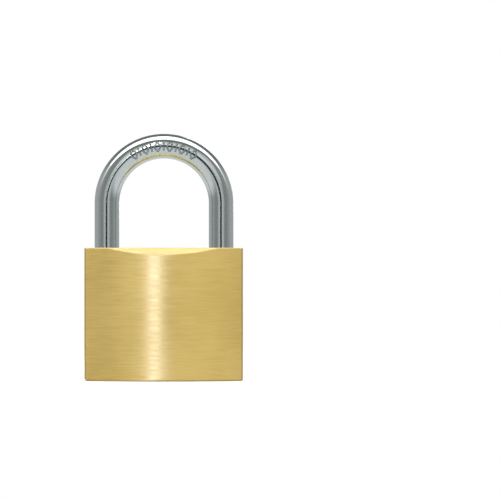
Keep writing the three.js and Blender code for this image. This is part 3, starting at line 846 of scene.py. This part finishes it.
for n, (height, tip) in enumerate(zip(CHAMBER_HEIGHTS, KEY_CUT_HEIGHTS), start=1):
    place = along_x(height)
    tumbler = key_pin(f"lower_pin_{n}", tip, height)
    piece(tumbler, "cylinder", f"key_pin_{n}", TURNED_BRASS)
    tumbler = bar(f"upper_pin_{n}", PIN_RADIUS, DRIVER_X, DRIVER_EASE, SMALL_ROUND, place)
    piece(tumbler, "housing", f"driver_pin_{n}", STEEL)
    start = DRIVER_X[1] + RUNNING_GAP
    length = CHAMBER_PLUG_X[0] - RUNNING_GAP - start
    spring = coil(f"pin_spring_{n}", length=length, place=place @ moved(z=start), **PIN_SPRING)
    piece(spring, "housing", f"driver_spring_{n}", WIRE)
    cap_radius = CHAMBER_RADIUS - PRESS_GAP
    cap = bar(f"side_cap_{n}", cap_radius, CHAMBER_PLUG_X, CAP_EASE, MIDDLE_ROUND, place)
    piece(cap, "housing", f"chamber_plug_{n}", BRUSHED_BRASS)

for obj in pieces:
    if obj.data.materials[0] == BRUSHED_BRASS:
        lay_brushing(obj)


# ---- Stage, light and camera ----

FLOOR_REACH = 1500
FLOOR_Z = -0.02
FLOOR_FADE = (0.12, 0.4)  # metres from the middle, where it starts to fade and is gone


def white_floor():
    """A pale floor that fades into the white background and only shows from above."""
    low, high = -FLOOR_REACH, FLOOR_REACH
    corners = [(low, low, FLOOR_Z), (high, low, FLOOR_Z), (high, high, FLOOR_Z), (low, high, FLOOR_Z)]
    obj = new_object("floor", corners, [(0, 1, 2, 3)])
    r = Recipe("floor")
    r.wire(r.shader, {"Base Color": (0.96, 0.96, 0.96, 1), "Roughness": 0.9, "Specular IOR Level": 0.1})
    x, y, _ = r.split(r.coordinates["Object"])
    far = r.remap(r.length(x, y), 0.0, 1.0, *FLOOR_FADE)
    below = r.add("ShaderNodeNewGeometry").outputs["Backfacing"]
    hidden = r.math("MAXIMUM", below, far)
    clear = r.add("ShaderNodeBsdfTransparent").outputs[0]
    shown = r.add("ShaderNodeMixShader", {0: hidden, 1: r.shader.outputs[0], 2: clear})
    output = next(n for n in r.tree.nodes if n.type == "OUTPUT_MATERIAL")
    r.wire(output, {"Surface": shown.outputs[0]})
    obj.data.materials.append(r.material)
    obj.visible_glossy = False
    obj.visible_diffuse = False
    return obj


SIDE_LIGHT = 0.28
BACK_LIGHT = 0.47
TABLE_LIGHT = 0.78
CEILING_LIGHT = 0.2
BAND_LIGHT = 1.3  # a pale band over the padlock, from side to side
CARD_LIGHT = 0.6  # a pale round card behind the camera
CARD_AZIMUTH = 0.0
CARD_EDGE = (10.0, 36.0)  # where it begins and has finished fading, in degrees from its middle
LENS_LIGHT = 0.02  # the dark spot that the camera makes
LENS_AZIMUTH = -1.5
LENS_EDGE = (8.0, 9.0)

# Edges in the room, as places on a sphere of radius 1: how far back, or how far up
BACK_EDGE = (-0.65, 0.15)  # from the sides to the back
CEILING_EDGE = (0.45, 0.8)
CEILING_SLOPE = 0.35  # how much lower the ceiling begins at the back
BAND_FORWARD = 0.08  # how far the band's middle is in front of the padlock
BAND_EDGE = (0.32, 0.15)
BAND_ENDS = (0.1, 0.6)
TABLE_EDGE = (-0.06, -0.3)

WHITE = (1.0, 1.0, 1.0)
COOLISH = (0.56, 0.64, 1.0)
COOL = (0.25, 0.33, 1.0)

FRONT_AZIMUTH = -6.5  # of the strips in front
BACK_STRIP = (172, 15)  # degrees round from the front, and degrees up
LAMP_AIM_Z = 0.04  # metres

EYE = (0.02725, -1.005, 0.0413)  # metres
SENSOR_WIDTH = 36
FOCAL_LENGTH = 228.3


def round_patch(w, azimuth, edge):
    """A round patch of the world at eye level: 1 inside its edge, fading to 0 outside."""
    turn, inner, outer = (math.radians(angle) for angle in (azimuth, *edge))
    middle = (math.sin(turn), -math.cos(turn), 0)
    inputs = {0: w.coordinates["Generated"], 1: middle}
    facing = w.add("ShaderNodeVectorMath", inputs, operation="DOT_PRODUCT").outputs["Value"]
    return w.ease(facing, math.cos(outer), math.cos(inner))


def studio_world():
    """The room that the metal reflects. The camera and matt surfaces see it as even white."""
    world = bpy.data.worlds.new("studio")
    world.use_nodes = True
    w = Nodes(world.node_tree)
    _, back, up = w.split(w.coordinates["Generated"])

    # The sides grow lighter towards the back, with the card and the lens in front.
    light = w.remap(back, SIDE_LIGHT, BACK_LIGHT, *BACK_EDGE)
    light = w.mix(round_patch(w, CARD_AZIMUTH, CARD_EDGE), light, CARD_LIGHT)
    light = w.mix(round_patch(w, LENS_AZIMUTH, LENS_EDGE), light, LENS_LIGHT)

    # The ceiling begins lower towards the back.
    towards_back = w.math("MULTIPLY", w.math("MAXIMUM", back), CEILING_SLOPE)
    ceiling = w.ease(w.math("ADD", up, towards_back), *CEILING_EDGE)
    light = w.mix(ceiling, light, CEILING_LIGHT)

    # The band runs over the top from side to side, and narrows to its ends.
    narrowing = w.remap(up, 0.2, 0.0, 0.2, 1.0)
    from_middle = w.math("ABSOLUTE", w.math("ADD", back, BAND_FORWARD))
    from_band = w.math("ADD", from_middle, narrowing)
    band = w.math("MULTIPLY", w.ease(from_band, *BAND_EDGE), w.ease(up, *BAND_ENDS))
    light = w.mix(band, light, BAND_LIGHT)

    # The table is everything below eye level.
    light = w.mix(w.ease(up, *TABLE_EDGE), light, TABLE_LIGHT)

    rays = w.add("ShaderNodeLightPath").outputs
    plain = w.math("MAXIMUM", rays["Is Camera Ray"], rays["Is Diffuse Ray"])
    background = world.node_tree.nodes["Background"]
    w.wire(background, {"Color": (1, 1, 1, 1), "Strength": w.mix(plain, light, 1.0)})
    bpy.context.scene.world = world


def softbox(name, aim, distance, size, radiance, colour, lit=None, shape="RECTANGLE"):
    """An area light that faces the padlock, and lights only the objects of a collection if one is given.

    It hangs at (degrees from the front towards the toe side, degrees up). Distance and size are in metres.
    """
    light = bpy.data.lights.new(name, "AREA")
    light.color = colour
    light.shape = shape
    light.size, light.size_y = size
    light.energy = radiance * math.pi * size[0] * size[1]
    obj = bpy.data.objects.new(name, light)
    azimuth, elevation = (math.radians(angle) for angle in aim)
    level = Vector((math.sin(azimuth), -math.cos(azimuth), 0))
    way = level * math.cos(elevation) + Vector((0, 0, math.sin(elevation)))
    obj.location = Vector((0, 0, LAMP_AIM_Z)) + way * distance
    obj.rotation_mode = "QUATERNION"
    obj.rotation_quaternion = way.to_track_quat("Z", "Y")
    obj.visible_camera = False
    obj.light_linking.receiver_collection = lit
    bpy.context.scene.collection.objects.link(obj)


def studio_lights(floor):
    """Strips and panels. The brass has cool ones of its own, which make its highlights cream white."""
    brass = bpy.data.collections.new("brass")
    others = bpy.data.collections.new("others")
    others.objects.link(floor)
    for obj in pieces:
        group = brass if obj.data.materials[0] in (BRUSHED_BRASS, TURNED_BRASS) else others
        group.objects.link(obj)

    # Each is a name, where it hangs, how far off, its size, radiance and colour, and what it lights.
    softbox("strip_front_cool", (FRONT_AZIMUTH, 27), 1.6, (0.085, 1.2), 29.0, COOL, brass)
    softbox("strip_front", (FRONT_AZIMUTH, 24), 1.6, (0.085, 0.8), 9.0, WHITE, others)
    softbox("strip_back_cool", BACK_STRIP, 1.6, (0.085, 0.8), 9.5, COOL, brass)
    softbox("strip_back", BACK_STRIP, 1.6, (0.085, 0.8), 4.0, WHITE, others)
    softbox("panel_top_cool", (0, 83), 1.2, (3.8, 1.05), 2.6, COOLISH, brass)
    softbox("panel_top", (0, 84), 1.2, (3.4, 0.9), 1.3, WHITE, others, "ELLIPSE")
    softbox("panel_front", (6, 27), 1.4, (1.6, 0.7), 0.38, WHITE)
    softbox("strip_low", (FRONT_AZIMUTH, 5), 1.6, (0.05, 0.16), 2.5, WHITE)


studio_world()
studio_lights(white_floor())

camera = bpy.data.cameras.new("camera")
camera.sensor_width = SENSOR_WIDTH
camera.lens = FOCAL_LENGTH
eye = bpy.data.objects.new("camera", camera)
eye.location = EYE
eye.rotation_euler = (math.pi / 2, 0, 0)
bpy.context.scene.collection.objects.link(eye)
bpy.context.scene.camera = eye
bpy.context.scene.view_settings.view_transform = "Standard"
